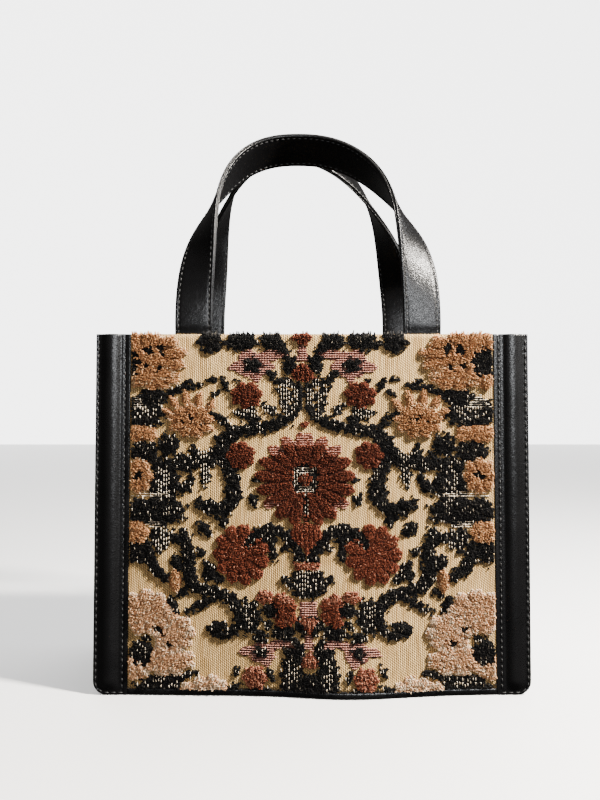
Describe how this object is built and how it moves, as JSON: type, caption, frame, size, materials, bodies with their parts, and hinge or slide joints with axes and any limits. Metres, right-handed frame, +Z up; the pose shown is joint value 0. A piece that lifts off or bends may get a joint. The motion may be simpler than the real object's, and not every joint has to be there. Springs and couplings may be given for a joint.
{
  "type": "tote bag",
  "caption": "Small structured tote bag with raised velvet panels, padded leather bands and two leather strap handles that swing.",
  "frame": {"origin": "middle of the base, on the surface the bag stands on", "axes": "+X along the width to the viewer's right, the front panel faces -Y, +Z up"},
  "size_m": [0.2808, 0.1236, 0.3763],
  "materials": {
    "black_leather": "soft pebbled grain, semi-gloss",
    "ground_cloth": "beige ribbed ground weave",
    "black_pile": "cut pile",
    "rust_pile": "cut pile",
    "tan_pile": "cut pile",
    "pale_pile": "cut pile",
    "pink_pile": "striped floats",
    "lining_cloth": "plain weave",
    "board": "plain"
  },
  "bodies": {
    "bag": {"gusset": "black_leather", "base_board": "board", "lining": "lining_cloth", "mouth_facing": "black_leather", "front_cloth": "ground_cloth", "front_left_band": "black_leather", "front_right_band": "black_leather", "front_foot_trim": "black_leather", "front_left_strap_end": "black_leather", "front_right_strap_end": "black_leather", "front_black_pile": "black_pile", "front_rust_pile": "rust_pile", "front_tan_pile": "tan_pile", "front_pale_pile": "pale_pile", "front_pink_pile": "pink_pile", "back_cloth": "ground_cloth", "back_left_band": "black_leather", "back_right_band": "black_leather", "back_foot_trim": "black_leather", "back_left_strap_end": "black_leather", "back_right_strap_end": "black_leather", "back_black_pile": "black_pile", "back_rust_pile": "rust_pile", "back_tan_pile": "tan_pile", "back_pale_pile": "pale_pile", "back_pink_pile": "pink_pile"},
    "front_handle": {"front_handle": "black_leather", "front_handle_lining": "black_leather"},
    "back_handle": {"back_handle": "black_leather", "back_handle_lining": "black_leather"}
  },
  "joints": [
    {"name": "front_handle_swing", "type": "hinge", "parent": "bag", "child": "front_handle", "pos_m": [0, -0.0592, 0.2332], "axis": [1, 0, 0], "range_deg": [0, 170]},
    {"name": "back_handle_swing", "type": "hinge", "parent": "bag", "child": "back_handle", "pos_m": [0, 0.0592, 0.2332], "axis": [-1, 0, 0], "range_deg": [0, 170]}
  ]
}
